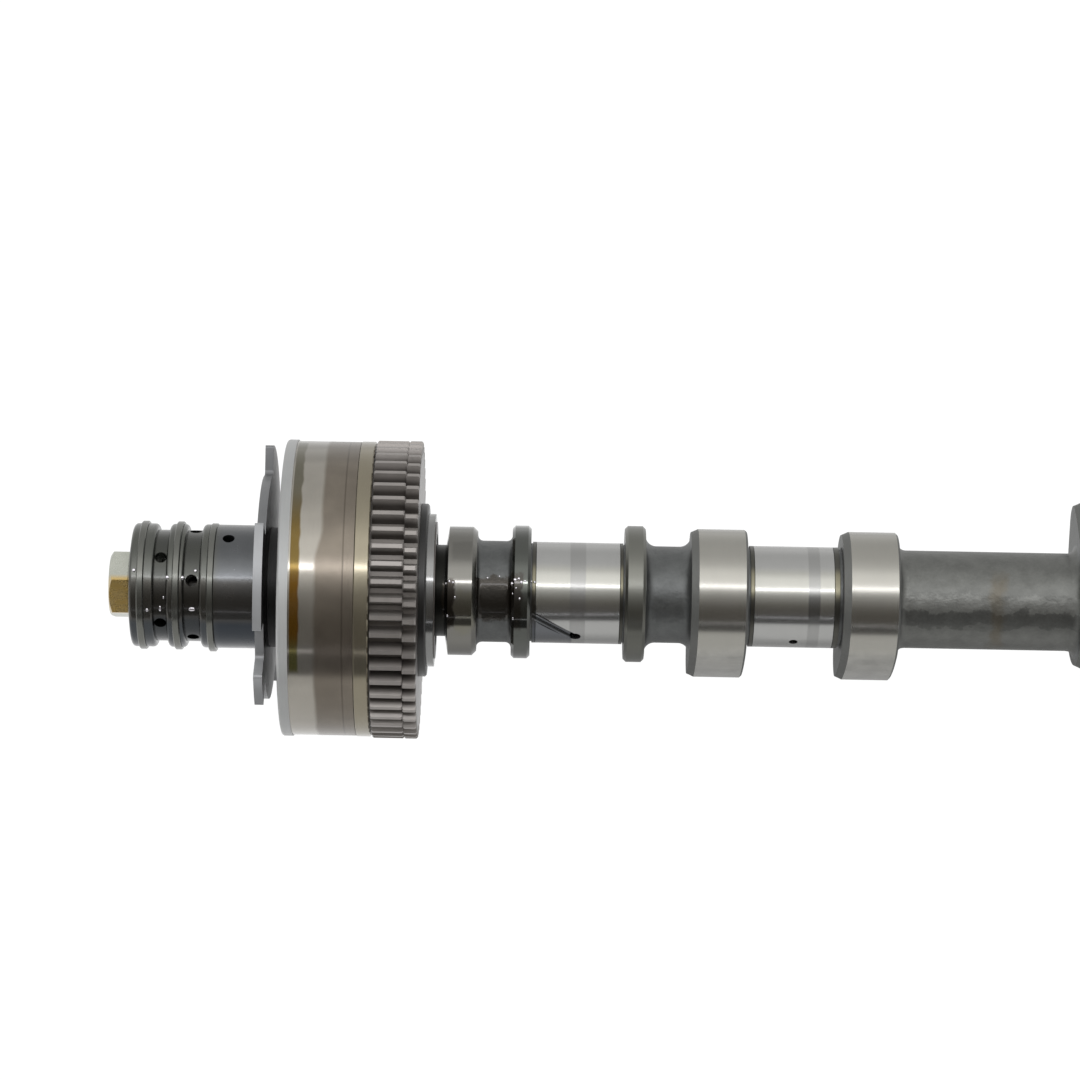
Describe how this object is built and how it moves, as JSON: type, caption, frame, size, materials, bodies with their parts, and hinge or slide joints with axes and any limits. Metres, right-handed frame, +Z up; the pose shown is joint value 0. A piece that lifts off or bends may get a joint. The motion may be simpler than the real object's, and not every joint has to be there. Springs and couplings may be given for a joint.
{
  "type": "camshaft",
  "caption": "Inlet camshaft with paired cam lobes, a vane phaser with a split spur gear, a trigger wheel and an oil-feed snout.",
  "frame": {"origin": "centre of the thrust journal, on the shaft's axis", "axes": "+X along the shaft from the oil snout to the rear end, +Z up with the first cylinder's cams pointing straight down"},
  "size_m": [0.4427, 0.0824, 0.0824],
  "materials": {
    "cast_shaft": "rough cast tube with ground lobes and polished journals",
    "plain_steel": "plain turned",
    "zinc_steel": "pale zinc plated, with amber oil on it",
    "dark_steel": "dark blue-grey, oily",
    "ring_iron": "satin",
    "sheet_steel": "satin light grey",
    "sintered_steel": "sintered, oily",
    "seal_plastic": "moulded",
    "spring_steel": "oil hardened",
    "housing_steel": "turned, with taupe oil staining",
    "cover_steel": "fine satin",
    "plate_brass_tint": "turned, pale straw tint",
    "gear_steel": "ground teeth, warm grey",
    "black_steel": "phosphated",
    "bright_steel": "bright"
  },
  "bodies": {
    "shaft": {"camshaft": "cast_shaft", "gallery_plug": "plain_steel", "central_bolt": "zinc_steel", "nose_dowel": "plain_steel", "ring_carrier": "dark_steel", "sealing_ring_1": "ring_iron", "sealing_ring_2": "ring_iron", "sealing_ring_3": "ring_iron", "trigger_wheel": "sheet_steel", "wheel_dowels": "plain_steel", "rotor": "sintered_steel", "vane_seals": "seal_plastic", "vane_seal_springs": "spring_steel", "lock_pin": "plain_steel", "lock_spring": "spring_steel"},
    "housing": {"stator_housing": "housing_steel", "front_cover": "cover_steel", "cover_screws": "plain_steel", "sealing_plate": "plate_brass_tint", "lock_bush": "plain_steel", "main_gear": "gear_steel", "main_spring_pin": "plain_steel", "scissor_spring": "spring_steel", "thrust_plate": "black_steel", "snap_ring": "bright_steel"},
    "split_gear": {"scissor_gear": "gear_steel", "scissor_spring_pin": "plain_steel"}
  },
  "joints": [
    {"name": "phaser_turn", "type": "hinge", "parent": "shaft", "child": "housing", "pos_m": [-0.065, 0, 0], "axis": [1, 0, 0], "range_deg": [0, 20]},
    {"name": "split_gear_turn", "type": "hinge", "parent": "housing", "child": "split_gear", "pos_m": [-0.04525, 0, 0], "axis": [-1, 0, 0], "range_deg": [0, 1.5], "stiffness_Nm_per_rad": 10, "springref_deg": -2.86, "deforming": ["scissor_spring"]}
  ]
}
